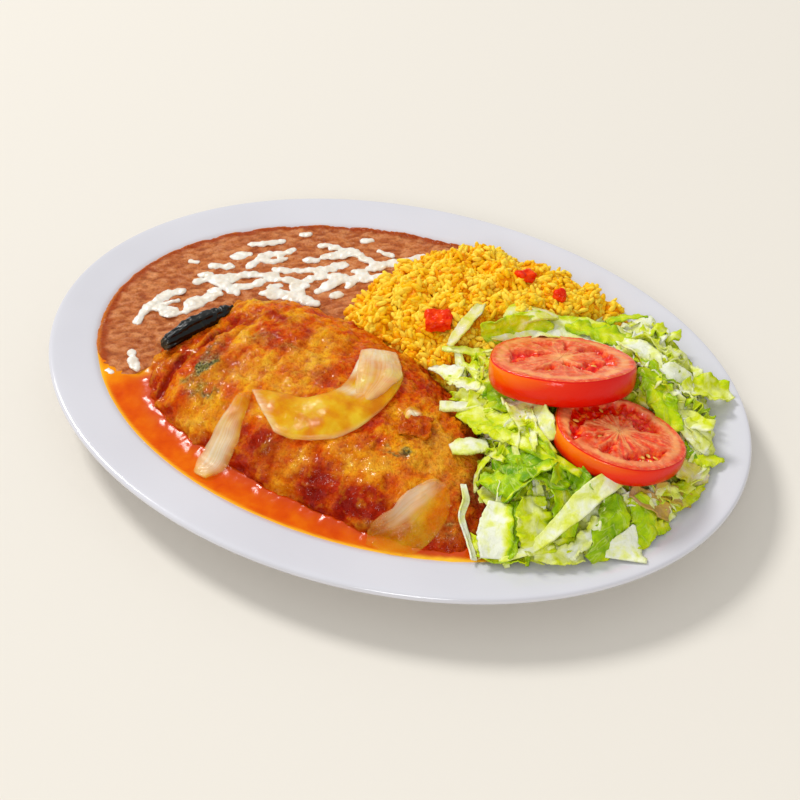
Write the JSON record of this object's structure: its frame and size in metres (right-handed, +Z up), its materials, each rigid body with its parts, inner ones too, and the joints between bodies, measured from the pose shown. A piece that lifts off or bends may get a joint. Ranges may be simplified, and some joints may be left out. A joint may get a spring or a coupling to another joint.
{
  "type": "chile relleno plate",
  "caption": "Oval rimmed platter of battered stuffed pepper in red sauce with refried beans, yellow rice, shredded lettuce and tomato slices.",
  "frame": {"origin": "centre of the platter's outline, on the table under its foot ring", "axes": "+X along the platter's length, +Y across it towards the rice and beans, +Z up"},
  "size_m": [0.32, 0.2396, 0.057],
  "materials": {
    "glazed_platter": "white glazed stoneware, glossy",
    "refried_beans": "mashed brown beans, oily sheen",
    "red_sauce": "thin orange-red sauce, wet gloss",
    "fried_batter": "fried egg batter, golden with browned patches, oily",
    "charred_stalk": "charred green-black pepper stalk, shiny",
    "yellow_rice": "yellow cooked rice, slightly moist",
    "shredded_lettuce": "crisp green and white lettuce shreds",
    "tomato": "ripe tomato, glossy skin and wet cut face",
    "red_pepper": "cooked red pepper dice",
    "melted_cheese": "melted white cheese strands, soft sheen",
    "stewed_onion": "translucent stewed onion, amber and wet"
  },
  "bodies": {
    "root": {"platter": "glazed_platter", "beans": "refried_beans", "sauce": "red_sauce", "chile_relleno": "fried_batter", "chile_stalk": "charred_stalk", "rice": "yellow_rice", "lettuce": "shredded_lettuce", "tomato_slice_upper": "tomato", "tomato_slice_lower": "tomato", "pepper_dice_front": "red_pepper", "pepper_dice_back": "red_pepper", "pepper_dice_side": "red_pepper", "cheese_middle": "melted_cheese", "cheese_left": "melted_cheese", "cheese_back": "melted_cheese", "onion_curl": "stewed_onion", "onion_left": "stewed_onion", "onion_front": "stewed_onion", "onion_chip": "stewed_onion"}
  },
  "joints": []
}
